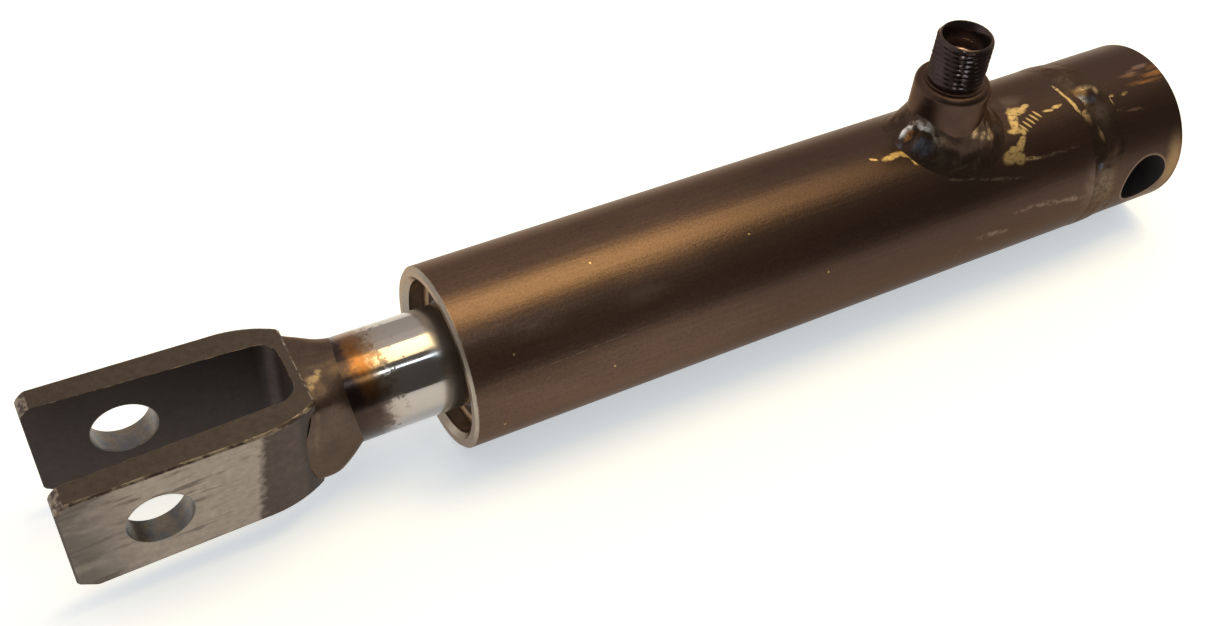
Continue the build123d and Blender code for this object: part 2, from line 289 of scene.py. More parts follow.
PORT_WELD_PALE = [
    (52.0, 13.0, 2.4, 3.0, 0),
    (57.5, 18.0, 3.0, 2.0, 0),
    (69.0, 34.0, 3.4, 0.5, 0),
    (75.0, 20.0, 2.0, 4.0, 0),
]
RING_WELD_GOLD = [
    (15.8, 8.6, 2.5, 0.85, -8),
    (12.8, 12.0, 1.0, 1.5, 0),
    (17.9, 43.2, 0.6, 2.0, 8),
    (20.6, 27.0, 1.0, 2.6, 5),
]
RING_WELD_BLUE = [(19.4, 16.0, 2.3, 1.2, -20), (19.9, 64.5, 0.8, 1.2, 0), (16.5, 18.5, 2.0, 1.0, 0)]
RING_WELD_PALE = [(17.5, 82.0, 4.0, 6.0, 0), (19.0, -4.0, 2.6, 3.0, 0), (15.0, 30.0, 3.0, 3.5, 0)]
CLEVIS_WELD_GOLD = [(259.0, 21.0, 1.7, 1.0, 10), (257.0, 15.0, 0.9, 0.7, 0), (260.4, 26.5, 0.8, 1.2, 0)]
CLEVIS_WELD_PALE = [(258.5, 10.0, 2.2, 2.0, 0), (261.5, 52.0, 0.6, 4.0, -5), (262.6, 76.0, 0.5, 4.0, -5)]


def marks(graph, place, radius, table, soft=0.3):
    """Mask of a table of marks."""
    masks = []
    for x, degrees, half_length, half_width, tilt in table:
        centre = (x * MM, math.radians(degrees) * radius)
        masks.append(graph.oval(place, centre, half_length * MM, half_width * MM, tilt, soft))
    return graph.most(*masks)


def scale_colour(graph):
    """Oiled mill scale: blotches drawn out lengthwise, fine streaks and a fine grain."""
    blotches = graph.noise(60, 6, graph.scaled(0.35, 1, 1), 0.62)
    streaks = graph.noise(800, 4, graph.scaled(0.04, 1, 1))
    grain = graph.noise(1500, 3)
    colour = graph.tinted(MILL_SCALE, blotches, 0.58, 1.46)
    colour = graph.tinted(colour, streaks, 0.8, 1.2)
    return graph.tinted(colour, grain, 0.62, 1.38), blotches, streaks, grain


def barrel_steel():
    graph = Graph("barrel_steel")
    flat = graph.unrolled(barrel_radius)
    rough_edge = graph.ragged(flat, 600, 1.1 * MM)
    fine_edge = graph.ragged(flat, 900, 0.7 * MM)
    colour, blotches, streaks, grain = scale_colour(graph)

    # painted shade: the barrel is darkened towards the rear, where the overhead highlight fades
    rear = graph.steps(graph.x, 190 * MM, 85 * MM)
    colour = graph.blend(graph.both(rear, 0.62), colour, DARK_SCALE_AND_SHADE)
    along = graph.math("SUBTRACT", graph.x, port_x)
    from_port = graph.distance(along, graph.y)
    cloudy = graph.math("ADD", from_port, graph.both(graph.noise(180, 4), 6 * MM))
    halo = graph.both(graph.steps(cloudy, 24 * MM, 18 * MM), graph.steps(graph.z, 0.0, 5 * MM))
    colour = graph.blend(graph.both(halo, 0.6), colour, (0.060, 0.043, 0.034))
    smudge = marks(graph, rough_edge, barrel_radius, BARREL_SMUDGES, 0.7)
    cloud = graph.steps(graph.noise(350, 5), 0.2, 0.6)
    colour = graph.blend(graph.both(smudge, cloud, 0.55), colour, (0.19, 0.135, 0.105))

    worn = graph.steps(graph.noise(900, 4, graph.scaled(0.5, 1, 1)), 0.24, 0.5)
    scuffs = graph.both(marks(graph, rough_edge, barrel_radius, BARREL_SCUFFS), worn)
    scratches = marks(graph, fine_edge, barrel_radius, BARREL_SCRATCHES, 0.5)
    grind = marks(graph, flat, barrel_radius, GRIND_MARKS, 0.25)
    specks = [(x, degrees, 0.3, 0.3, 0) for x, degrees in BARREL_SPECKS]
    speck = marks(graph, flat, barrel_radius, specks, 0.4)
    broken = graph.steps(graph.noise(700, 4), 0.35, 0.65)
    colour = graph.blend(graph.both(scratches, broken, 0.55), colour, DULL_STEEL)
    bare = graph.most(scuffs, graph.both(grind, 0.9), graph.both(speck, 0.7))
    scuffed = graph.tinted(graph.tinted(BARE_STEEL, grain, 0.6, 1.3), worn, 0.6, 1.1)
    colour = graph.blend(bare, colour, scuffed)

    radial = graph.distance(graph.y, graph.z)
    inside = graph.steps(radial, barrel_radius - 1.2 * MM, barrel_radius - 1.6 * MM)
    wavy_x = graph.math("ADD", graph.x, graph.both(graph.noise(500), 0.3 * MM))
    face = graph.steps(wavy_x, mouth_x - 0.85 * MM, mouth_x - 0.5 * MM)
    lead_in = graph.both(inside, graph.steps(wavy_x, mouth_x - 2.3 * MM, mouth_x - 1.7 * MM))
    machined = graph.most(face, lead_in)
    turned = graph.noise(2500, 3, graph.scaled(1, 0.4, 0.4))
    colour = graph.blend(inside, colour, graph.tinted((0.50, 0.37, 0.26), blotches, 0.6, 1.3))
    colour = graph.blend(machined, colour, graph.tinted(MACHINED, turned, 0.75, 1.2))

    rough = graph.math("ADD", graph.span(blotches, 0.27, 0.38), graph.both(bare, 0.08))
    rough = graph.math("SUBTRACT", rough, graph.both(inside, 0.12))
    metallic = graph.span(graph.most(bare, machined), 0.75, 0.9)
    normal = graph.bump(streaks, 0.03 * MM)
    normal = graph.bump(grain, 0.035 * MM, normal)
    return graph.finish(colour, rough, metallic, normal, Specular_Tint=GLANCING)


def plug_steel():
    graph = Graph("plug_steel")
    flat = graph.unrolled(plug_radius)
    rough_edge = graph.ragged(flat, 600, 1.6 * MM)
    colour, blotches, streaks, grain = scale_colour(graph)
    colour = graph.blend(0.72, colour, DARK_SCALE_AND_SHADE)
    cloud = graph.steps(graph.noise(600, 5, graph.scaled(0.4, 1, 1)), 0.36, 0.6)
    rust_streaks = graph.steps(graph.noise(900, 5, graph.scaled(0.1, 1, 1)), 0.38, 0.6)
    radial = graph.distance(graph.y, graph.z)
    skin = graph.steps(radial, plug_radius - 4 * MM, plug_radius - 1.5 * MM)
    rust = graph.both(marks(graph, rough_edge, plug_radius, PLUG_RUST, 0.8), rust_streaks, skin)
    # painted highlight: a golden-brown patch on the lower rim of the plug
    painted_rim_highlight = graph.both(marks(graph, rough_edge, plug_radius, PLUG_RIM_HIGHLIGHT, 0.7), skin)
    colour = graph.blend(graph.both(painted_rim_highlight, 0.85), colour, (0.30, 0.195, 0.10))
    pale = graph.both(marks(graph, rough_edge, plug_radius, PLUG_PALE, 0.5), cloud)
    colour = graph.blend(graph.both(pale, 0.55), colour, (0.34, 0.20, 0.15))
    colour = graph.blend(graph.both(rust, 0.9), colour, RUST)
    bare = graph.both(marks(graph, rough_edge, plug_radius, PLUG_SCUFFS, 0.4), cloud)
    colour = graph.blend(bare, colour, BARE_STEEL)

    reach = graph.distance(graph.x, graph.z)
    # painted highlight: a lighter ring round the edge of the cross bore
    rim = graph.steps(reach, rear_bore_radius + 0.9 * MM, rear_bore_radius + 0.35 * MM)
    colour = graph.blend(graph.both(rim, 0.6), colour, (0.24, 0.17, 0.12))
    bore = graph.steps(reach, rear_bore_radius + 0.12 * MM, rear_bore_radius)
    colour = graph.blend(bore, colour, graph.tinted((0.13, 0.12, 0.125), blotches, 0.6, 1.4))
    rough = graph.span(blotches, 0.28, 0.42)
    normal = graph.bump(streaks, 0.02 * MM)
    normal = graph.bump(grain, 0.03 * MM, normal)
    return graph.finish(colour, rough, graph.span(bare, 0.72, 0.9), normal, Specular_Tint=GLANCING)


def weld_metal(name, radius, dark, tints):
    """Smooth dark weld oxide with heat colours and painted white glints; tints holds (colour, table of
    marks) pairs.
    """
    graph = Graph(name)
    place = graph.ragged(graph.unrolled(radius), 600, 1.0 * MM)
    clouds = graph.noise(130, 6, rough=0.62)
    fine = graph.noise(1500, 4)
    patchy = graph.steps(graph.noise(650, 5), 0.26, 0.62)
    colour = graph.tinted(dark, clouds, 0.5, 1.6)
    colour = graph.tinted(colour, fine, 0.7, 1.35)
    shine = 0.0
    for tint, table in tints:
        mask = graph.both(marks(graph, place, radius, table, 0.6), patchy)
        colour = graph.blend(mask, colour, graph.tinted(tint, clouds, 0.6, 1.35))
        shine = graph.math("MAXIMUM", mask, shine)
    rough = graph.math("SUBTRACT", graph.span(fine, 0.28, 0.42), graph.both(shine, 0.1))
    normal = graph.bump(graph.noise(450, 5), 0.07 * MM)
    normal = graph.bump(graph.noise(2600, 2), 0.02 * MM, normal)
    return graph.finish(colour, rough, 0.82, normal, Specular_Tint=GLANCING)


def nipple_steel():
    graph = Graph("nipple_steel")
    film = graph.noise(260, 5)
    fine = graph.noise(1600, 3)
    threaded = graph.steps(graph.z, tip_z - 13.9 * MM, tip_z - 13.0 * MM)
    along = graph.math("SUBTRACT", graph.x, port_x)
    radial = graph.distance(along, graph.y)
    inside = graph.steps(radial, socket_radius + 0.5 * MM, socket_radius - 0.2 * MM)
    colour = graph.blend(threaded, (0.066, 0.040, 0.031), (0.070, 0.050, 0.048))
    colour = graph.blend(inside, colour, (0.34, 0.25, 0.22))
    colour = graph.tinted(colour, film, 0.55, 1.45)
    rough = graph.math("ADD", graph.span(film, 0.10, 0.18), graph.span(threaded, 0.2, 0.0))
    normal = graph.bump(fine, 0.012 * MM)
    return graph.finish(colour, rough, 0.85, normal, Specular_Tint=GLANCING)


def rod_chrome():
    """Hard chrome, burnt brown and stained towards the weld; below the highlight line its heat colours
    carry painted shade and a painted floor reflection.
    """
    graph = Graph("rod_chrome")
    flat = graph.unrolled(rod_radius)
    fine = graph.noise(900, 6, rough=0.65)
    spots = graph.noise(380, 6, rough=0.65)
    broad = graph.noise(110, 3)
    ragged_x = graph.pushed(graph.pushed(graph.x, broad, 7 * MM), fine, 4 * MM)
    burnt = graph.steps(ragged_x, clevis_weld_x - 8.5 * MM, clevis_weld_x - 2.5 * MM)
    # painted shade: below the rod's highlight line the burn is painted dark and the straw tint pinkish
    shaded_below_highlight = graph.steps(graph.z, 10.5 * MM, 6 * MM)
    veil = graph.steps(ragged_x, clevis_weld_x - 13 * MM, clevis_weld_x - 5 * MM)
    near = graph.steps(ragged_x, clevis_weld_x - 17 * MM, clevis_weld_x - 3 * MM)
    stain = graph.steps(graph.math("ADD", spots, graph.both(near, 0.24)), 0.66, 0.78)
    speck = graph.both(graph.steps(fine, 0.66, 0.74), near)
    colour = graph.tinted((0.44, 0.40, 0.37), graph.noise(70, 3, graph.scaled(0.3, 1, 1)), 0.9, 1.1)
    # straw heat tint on top, a pinkish painted reflection of the floor underneath
    straw_and_painted_reflection = graph.blend(shaded_below_highlight, (0.42, 0.27, 0.11), (0.36, 0.27, 0.23))
    colour = graph.blend(graph.both(veil, 0.4), colour, straw_and_painted_reflection)
    colour = graph.blend(graph.both(graph.most(stain, speck), 0.75), colour, (0.10, 0.066, 0.052))
    # orange burn where the highlight falls, painted shade underneath
    burn_and_painted_shade = graph.blend(shaded_below_highlight, (0.20, 0.088, 0.030), (0.056, 0.038, 0.032))
    colour = graph.blend(burnt, colour, graph.tinted(burn_and_painted_shade, spots, 0.2, 1.9))
    toe = graph.steps(ragged_x, clevis_weld_x - 1.5 * MM, clevis_weld_x + 1.5 * MM)
    colour = graph.blend(toe, colour, (0.045, 0.030, 0.026))
    stained = graph.most(stain, burnt, speck)
    rough = graph.math("ADD", graph.span(spots, 0.06, 0.12), graph.both(stained, 0.14))
    outer = graph.steps(graph.x, mouth_x + 7 * MM, mouth_x + 1 * MM)
    inner = graph.steps(graph.x, mouth_x - 24.5 * MM, mouth_x - 14.5 * MM)
    rough = graph.math("ADD", rough, graph.both(outer, inner, 0.15))  # oil wiped off at the gland
    polish = graph.noise(1300, 3, graph.scaled(0.02, 1, 1, flat))
    normal = graph.bump(polish, 0.009 * MM)
    normal = graph.bump(stained, 0.01 * MM, normal)
    return graph.finish(colour, rough, 0.95, normal)


def clevis_steel():
    """Ground flat on the outside of the ears, dark scale at the back, in the slot and on top, with painted
    shade darkening the slot.
    """
    graph = Graph("clevis_steel")
    facing = graph.add("ShaderNodeNewGeometry").outputs["Normal"]
    turn_x, turn_y, turn_z = [graph.math("ABSOLUTE", turn) for turn in graph.split(facing)]
    side = graph.steps(turn_y, 0.82, 0.93)
    upright = graph.steps(turn_z, 0.7, 0.95)
    outside = graph.steps(graph.math("ABSOLUTE", graph.y), 15.5 * MM, 16.5 * MM)
    fine = graph.noise(1400, 4)
    ragged_x = graph.pushed(graph.x, graph.noise(500, 5), 5 * MM)
    sloped_x = graph.math("ADD", ragged_x, graph.both(graph.z, 0.12))
    edge_x = clevis_high[0] - 47 * MM
    ground = graph.both(side, outside, graph.steps(sloped_x, edge_x - 1.2 * MM, edge_x + 1.6 * MM))

    clouds = graph.noise(110, 5, graph.scaled(0.5, 1, 1), 0.6)
    mottle = graph.noise(500, 5)
    scale = graph.tinted((0.068, 0.044, 0.036), mottle, 0.55, 1.5)
    scale = graph.tinted(scale, clouds, 0.7, 1.35)
    # painted shade: the inner faces of the slot are painted darker
    shaded_slot = graph.both(graph.math("SUBTRACT", 1.0, outside), side)
    scale = graph.blend(graph.both(shaded_slot, 0.75), scale, (0.026, 0.016, 0.013))
    top = graph.tinted(graph.tinted((0.067, 0.049, 0.038), mottle, 0.6, 1.4), fine, 0.65, 1.35)
    scale = graph.blend(graph.both(upright, 0.75), scale, top)

    brushed = graph.noise(1500, 3, graph.scaled(0.08, 1, 1))
    dashes = graph.noise(620, 4, graph.scaled(0.14, 1, 1))
    grey = graph.tinted(graph.tinted((0.315, 0.262, 0.220), brushed, 0.8, 1.2), mottle, 0.65, 1.35)
    front = graph.steps(graph.x, clevis_high[0] - 20 * MM, clevis_high[0] - 2 * MM)
    threshold = graph.math("ADD", dashes, graph.both(front, 0.07))
    dark_dash = graph.both(graph.steps(threshold, 0.54, 0.66), graph.steps(clouds, 0.38, 0.56))
    dirty = graph.both(front, graph.steps(clouds, 0.15, 0.5), 0.9)
    grey = graph.blend(dirty, grey, (0.115, 0.095, 0.082))
    grey = graph.blend(graph.both(dark_dash, 0.75), grey, (0.10, 0.078, 0.066))
    colour = graph.blend(ground, scale, grey)

    corner = graph.math("MULTIPLY", turn_z, graph.math("MAXIMUM", turn_x, turn_y))
    flecks = graph.steps(graph.noise(700, 5, graph.scaled(0.5, 1, 1)), 0.42, 0.6)
    worn = graph.both(graph.steps(corner, 0.12, 0.3), flecks)
    colour = graph.blend(graph.both(worn, 0.8), colour, (0.36, 0.29, 0.22))

    across = graph.math("SUBTRACT", graph.x, mounts["clevis_pin_bore"]["pos_m"][0])
    reach = graph.distance(across, graph.z)
    bore = graph.steps(reach, 8.5 * MM, 8.25 * MM)
    patches = graph.steps(graph.noise(300, 4), 0.42, 0.62)
    reamed = graph.blend(patches, (0.20, 0.165, 0.135), (0.135, 0.14, 0.15))
    colour = graph.blend(bore, colour, graph.tinted(reamed, graph.noise(1200, 4), 0.5, 1.6))

    rough = graph.math("SUBTRACT", graph.span(graph.noise(600, 3), 0.42, 0.58), graph.both(bore, 0.14))
    normal = graph.bump(brushed, 0.03 * MM)
    normal = graph.bump(fine, 0.03 * MM, normal)
    return graph.finish(colour, rough, graph.span(ground, 0.6, 0.8), normal)


def plain_metal(name, dark, light, rough_low, rough_high, metallic=0.85):
    """Oily machined metal, for what lies in the mouth and inside."""
    graph = Graph(name)
    patches = graph.noise(160, 6, rough=0.6)
    turned = graph.noise(2600, 3, graph.scaled(1, 0.06, 0.06))
    colour = graph.tinted(graph.blend(patches, dark, light), turned, 0.85, 1.15)
    normal = graph.bump(turned, 0.015 * MM)
    return graph.finish(colour, graph.span(patches, rough_low, rough_high), metallic, normal)


def moulded(name, dark, light, rough):
    """Seal or guide strip: matt, faintly mottled."""
    graph = Graph(name)
    patches = graph.noise(300, 4)
    colour = graph.blend(patches, dark, light)
    normal = graph.bump(graph.noise(2200, 3), 0.015 * MM)
    return graph.finish(colour, graph.span(patches, rough - 0.08, rough + 0.08), 0.0, normal)


# ---------------------------------------------------------------- pieces
def shade(mesh, sharp_degrees):
    for face in mesh.polygons:
        face.use_smooth = True
    mesh.set_sharp_from_angle(angle=math.radians(sharp_degrees))


def add_piece(name, mesh, material, body, node):
    """Put a mesh in the scene to stand for a CAD node."""
    mesh.materials.clear()
    mesh.materials.append(material)
    piece = bpy.data.objects.new(name, mesh)
    bpy.context.collection.objects.link(piece)
    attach(piece, body)
    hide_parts(node)
    return piece


def loop_mesh(name, rings, sharp_degrees):
    """Closed mesh from rings of points: each ring closes, and the last ring joins the first."""
    count = len(rings[0])
    faces = []
    for row in range(len(rings)):
        here = row * count
        there = (row + 1) % len(rings) * count
        for column in range(count):
            following = (column + 1) % count
            faces.append((here + column, here + following, there + following, there + column))
    mesh = bpy.data.meshes.new(name)
    mesh.from_pydata([point for ring in rings for point in ring], [], faces)
    work = bmesh.new()
    work.from_mesh(mesh)
    bmesh.ops.recalc_face_normals(work, faces=work.faces)
    work.to_mesh(mesh)
    work.free()
    shade(mesh, sharp_degrees)
    return mesh


def eased_mesh(node, ease, sharp_degrees=30):
    """A CAD node's mesh with flat faces made whole and its sharp edges rounded over."""
    work = bmesh.new()
    work.from_mesh(frame["nodes"][node].data)
    bmesh.ops.remove_doubles(work, verts=work.verts, dist=0.002 * MM)
    bmesh.ops.dissolve_limit(work, angle_limit=math.radians(0.6), verts=work.verts, edges=work.edges)
    limit = math.radians(sharp_degrees)
    sharp = [edge for edge in work.edges if edge.is_manifold and edge.calc_face_angle() > limit]
    rounding = {"offset": ease, "segments": 2, "profile": 0.5, "affect": "EDGES", "clamp_overlap": True}
    bmesh.ops.bevel(work, geom=sharp, **rounding)
    mesh = bpy.data.meshes.new(node + "_eased")
    work.to_mesh(mesh)
    work.free()
    shade(mesh, sharp_degrees)
    return mesh


def wave(x, y=0.0, z=0.0):
    """Smooth noise from -1 to 1; one lump is about one unit."""
    return noise.noise(Vector((x, y, z)))


def ring_wave(angle, lumps, seed):
    """Noise that closes round a ring, with about this many lumps on it."""
    reach = lumps / math.tau
    return wave(reach * math.cos(angle), reach * math.sin(angle), seed)


def saddle_z(radius, angle, sunk=0.0):
    """Height of the barrel's surface at this distance and direction from the port's axis."""
    return math.sqrt((barrel_radius - sunk) ** 2 - (radius * math.sin(angle)) ** 2)


def port_point(radius, angle, z):
    return Vector((port_x + radius * math.cos(angle), radius * math.sin(angle), z))


def turns(count):
    return [math.tau * step / count for step in range(count)]


def nipple_outline():
    """(radius, z) up the outside of the nipple's neck, over its lip and down the inside.

    A z of None stands for the barrel's surface.
    """
    collar_top = tip_z - 14.6 * MM
    collar_round = 2.2 * MM
    shoulder_radius = thread_radius + 0.5 * MM
    rounding = 0.25 * MM
    relief_radius = thread_radius - 1.0 * MM
    oil_hole_radius = 4.0 * MM
    chamfer_start = tip_z - 0.9 * MM
    outline = [(collar_radius, None), (collar_radius, collar_top - collar_round)]
    for step in range(1, 9):
        turn = math.radians(90 * step / 8)
        radius = collar_radius - collar_round * (1 - math.cos(turn))
        outline.append((radius, collar_top - collar_round * (1 - math.sin(turn))))
    outline.append((shoulder_radius, collar_top))
    for turn in (0, 30, 60, 90):
        radius = shoulder_radius - rounding * (1 - math.cos(math.radians(turn)))
        outline.append((radius, collar_top + rounding + rounding * math.sin(math.radians(turn))))
    outline.append((relief_radius + 0.3 * MM, collar_top + 0.5 * MM))
    outline.append((relief_radius, collar_top + 0.8 * MM))
    rows = 104
    for step in range(rows + 1):
        z = thread_foot_z + (chamfer_start - thread_foot_z) * step / rows
        run_in = relief_radius + 2.5 * (z - thread_foot_z)
        outline.append((min(run_in, thread_radius), z))
    lip = [(-0.15, -0.62), (-0.45, -0.36), (-0.85, -0.12), (-1.05, 0.0), (-1.2, -0.02), (-1.35, -0.2)]
    outline += [(thread_radius + dr * MM, tip_z + dz * MM) for dr, dz in lip]
    outline += [
        (socket_radius + 1.0 * MM, tip_z - 1.3 * MM),
        (socket_radius, tip_z - 3.9 * MM),
        (socket_radius, tip_z - 7.4 * MM),
        (oil_hole_radius + 0.1 * MM, tip_z - 7.5 * MM),
        (oil_hole_radius, tip_z - 7.7 * MM),
        (oil_hole_radius, None),
    ]
    return outline


def thread_surface(angle, z):
    """Radius of an M16 x 1.5 right-hand thread."""
    pitch = 1.5 * MM
    depth = 0.88 * MM
    phase = (z / pitch - angle / math.tau) % 1.0
    crest = abs(2 * phase - 1)
    cut = min(max((0.96 - crest) / 0.92, 0.0), 1.0)
    dents = 1 + wave(2.2 * math.cos(angle), 2.2 * math.sin(angle), z / (1.1 * MM))
    return thread_radius - depth * cut - 0.09 * MM * (1 - cut) * dents


def threaded_nipple():
    sunk = 0.3 * MM
    rings = []
    for radius, z in nipple_outline():
        ring = []
        for angle in turns(144):
            if z is None:
                ring.append(port_point(radius, angle, saddle_z(radius, angle, sunk)))
                continue
            on_thread = z > thread_foot_z and radius > thread_radius - 1.02 * MM
            here = min(radius, thread_surface(angle, z)) if on_thread else radius
            ring.append(port_point(here, angle, z))
        rings.append(ring)
    return loop_mesh("threaded_nipple", rings, 60)


def bump_at(value, centre, width):
    """1 at the centre, falling away smoothly over the width."""
    return math.exp(-(((value - centre) / width) ** 2))


def port_weld():
    """Broad smooth fillet round the collar, with a round blob where it was ended."""
    across = 30
    count = 240
    rings = []
    for row in range(across + 1):
        share = row / across
        ring = []
        for angle in turns(count):
            lump = ring_wave(angle, 7, 1.3)
            ahead = bump_at(angle, math.radians(25), 0.6)  # the bead climbs the collar here
            behind = bump_at(angle, math.radians(160), 0.95)
            up = (6.4 + 2.2 * ahead + 3.8 * behind + 0.4 * lump) * MM
            out = (6.2 + 0.6 * ahead + 2.4 * behind + 0.7 * ring_wave(angle, 8, 7.7)) * MM
            toe_radius = collar_radius + out
            top = Vector((collar_radius - 0.05 * MM, saddle_z(collar_radius, angle) + up))
            toe = Vector((toe_radius, saddle_z(toe_radius, angle, 0.06 * MM)))
            swell = math.sin(math.pi * share)
            along = angle * (collar_radius + 0.5 * out) / (2.4 * MM)
            ripple = abs(math.sin(math.pi * (along + 1.6 * (share - 0.5) ** 2 + 0.8 * lump)))
            rolling = wave(3.0 * math.cos(angle), 3.0 * math.sin(angle), 3.5 * share)
            height = (0.07 * ripple + 0.45 * rolling - 0.75 - 0.5 * behind) * swell
            height += 1.35 * bump_at(angle, 0.10, 0.14) * bump_at(share, 0.5, 0.22)
            height += 0.8 * bump_at(angle, 0.52, 0.18) * bump_at(share, 0.6, 0.22)
            normal = Vector((up, out)).normalized()
            radius, z = top.lerp(toe, share) + normal * height * MM
            ring.append(port_point(radius, angle, z))
        rings.append(ring)
    buried = 0.9 * MM
    for radius in (collar_radius + 4.4 * MM, collar_radius + 0.5 * MM):
        rings.append([port_point(radius, angle, saddle_z(radius, angle, buried)) for angle in turns(count)])
    inner = collar_radius - 0.6 * MM
    for rise in (0.5 * MM, 4.2 * MM):
        rings.append([port_point(inner, angle, saddle_z(inner, angle) + rise) for angle in turns(count)])
    return loop_mesh("port_weld", rings, 70)


def axis_point(x, radius, angle):
    """Point about X; the angle is from the top towards +Y."""
    return Vector((x, radius * math.sin(angle), radius * math.cos(angle)))


def ring_weld():
    """Low, wide bead round the joint of plug and tube, with a lump on top where it was ended."""
    across = 30
    limit = barrel_radius + 0.38 * MM  # what the CAD model's box leaves at the sides
    rings = []
    for row in range(across + 1):
        share = row / across
        ring = []
        for angle in turns(280):
            start = joint_x - 5.6 * MM + 0.7 * MM * ring_wave(angle, 11, 3.1)
            end = joint_x + 7.6 * MM + 0.6 * MM * ring_wave(angle, 12, 9.4)
            x = start + (end - start) * share
            over_tube = min(max((x - joint_x) / (4 * MM) + 0.5, 0), 1)
            base = plug_radius + (barrel_radius - plug_radius) * over_tube
            swell = math.sin(math.pi * share) ** 0.5
            along = angle * barrel_radius / (2.6 * MM)
            ripple = abs(math.sin(math.pi * (along + 2.2 * (share - 0.5) ** 2)))
            rolling = wave(7 * math.cos(angle), 7 * math.sin(angle), 4 * share)
            height = 0.16 + 0.04 * ripple + 0.16 * rolling
            radius = min(base + (height * swell - 0.05) * MM, limit)
            lump = bump_at(x, joint_x + 1.0 * MM, 4.0 * MM) * bump_at(angle, 0.19, 0.12)
            dip = bump_at(x, joint_x + 5.4 * MM, 1.6 * MM) * bump_at(angle, 0.27, 0.1)
            radius += (lump - 0.5 * dip) * MM
            ring.append(axis_point(x, radius, angle))
        rings.append(ring)
    for beyond, radius in ((4.0, 24.2), (1.0, 22.6), (-3.0, 23.8)):  # the bead's hidden root, in mm
        x = joint_x + beyond * MM
        rings.append([axis_point(x, radius * MM, angle) for angle in turns(280)])
    return loop_mesh("ring_weld", rings, 70)


def box_radius(angle, half_width, half_height, power):
    """Distance from the axis to a rounded box, in this direction from the top."""
    wide = abs(math.sin(angle)) / half_width
    high = abs(math.cos(angle)) / half_height
    return (wide**power + high**power) ** (-1 / power)


def clevis_weld():
    """Large fillet from the rod to the back of the clevis: hollow over the top, full underneath."""
    across = 34
    count = 220
    back_x = clevis_low[0]
    rings = []
    for row in range(across + 1):
        share = row / across
        ring = []
        for angle in turns(count):
            facing = max(math.cos(angle - math.radians(40)), 0.0)
            start = clevis_weld_x + (0.9 + 2.8 * facing**2 + 0.5 * ring_wave(angle, 9, 5.5)) * MM
            end = back_x + (0.5 + 4.6 * math.sin(angle) ** 4 + 0.25 * ring_wave(angle, 12, 2.2)) * MM
            full = 0.5 - 0.5 * math.cos(angle + math.radians(50))
            hollow_rise = share**1.5
            full_rise = 1 - (1 - share) ** 2.2
            rise = hollow_rise + (full_rise - hollow_rise) * full
            outer = box_radius(angle, 15.5 * MM, 15.4 * MM, 5.5)
            x = start + (end - start) * share
            radius = rod_radius - 0.04 * MM + (outer - rod_radius) * rise
            along = angle * rod_radius / (2.6 * MM)
            ripple = abs(math.sin(math.pi * (along + 1.8 * (share - 0.5) ** 2)))
            rolling = wave(3 * math.cos(angle), 3 * math.sin(angle), 2.5 * share)
            swell = math.sin(math.pi * share)
            radius += (0.12 + 0.25 * full + 0.06 * ripple + 0.3 * rolling) * MM * swell
            ring.append(axis_point(x, radius, angle))
        rings.append(ring)
    hidden_root = [
        (back_x + 1.5 * MM, 12.4 * MM),
        (back_x - 2.0 * MM, 12.6 * MM),
        (clevis_weld_x + 5.0 * MM, 13.2 * MM),
    ]
    for x, radius in hidden_root:
        rings.append([axis_point(x, radius, angle) for angle in turns(count)])
    return loop_mesh("clevis_weld", rings, 70)


def finish_nodes():
    """Materials for the CAD nodes that keep their own meshes."""
    dull = plain_metal("gland_iron", (0.05, 0.036, 0.03), (0.12, 0.08, 0.06), 0.34, 0.5)
    wire = plain_metal("spring_wire", (0.26, 0.17, 0.10), (0.46, 0.32, 0.19), 0.28, 0.42)
    fastener = plain_metal("fastener_steel", (0.36, 0.35, 0.33), (0.52, 0.5, 0.47), 0.28, 0.42)
    iron = plain_metal("piston_iron", (0.16, 0.145, 0.13), (0.26, 0.24, 0.22), 0.35, 0.5)
    rubber = moulded("seal_rubber", (0.016, 0.016, 0.016), (0.035, 0.033, 0.03), 0.55)
    urethane = moulded("seal_polyurethane", (0.03, 0.024, 0.016), (0.06, 0.048, 0.03), 0.45)
    guide = moulded("guide_plastic", (0.22, 0.12, 0.06), (0.34, 0.2, 0.11), 0.55)
    finishes = {
        "rod": rod_chrome(),
        "head_gland": dull,
        "gland_retaining_ring": wire,
        "gland_o_ring": rubber,
        "gland_backup_ring": guide,
        "rod_guide_ring_rear": guide,
        "rod_guide_ring_front": guide,
        "piston_guide_ring_rear": guide,
        "piston_guide_ring_front": guide,
        "rod_seal": urethane,
        "rod_wiper": urethane,
        "piston": iron,
        "piston_washer": fastener,
        "piston_nut": fastener,
    }
    for node, material in finishes.items():
        mesh = frame["nodes"][node].data
        mesh.materials.clear()
        mesh.materials.append(material)


def eased_pieces():
    """The large turned and forged pieces, with their edges rounded over."""
    tube = eased_mesh("barrel_tube", 0.45 * MM)
    plug = eased_mesh("rear_plug", 0.35 * MM)
    clevis = eased_mesh("clevis", 0.35 * MM)
    eased = [
        add_piece("barrel_tube_eased", tube, barrel_steel(), "barrel", "barrel_tube"),
        add_piece("rear_plug_eased", plug, plug_steel(), "barrel", "rear_plug"),
        add_piece("clevis_eased", clevis, clevis_steel(), "rod", "clevis"),
    ]
    for piece in eased:
        piece.modifiers.new("flat_faces_stay_flat", "WEIGHTED_NORMAL").keep_sharp = True


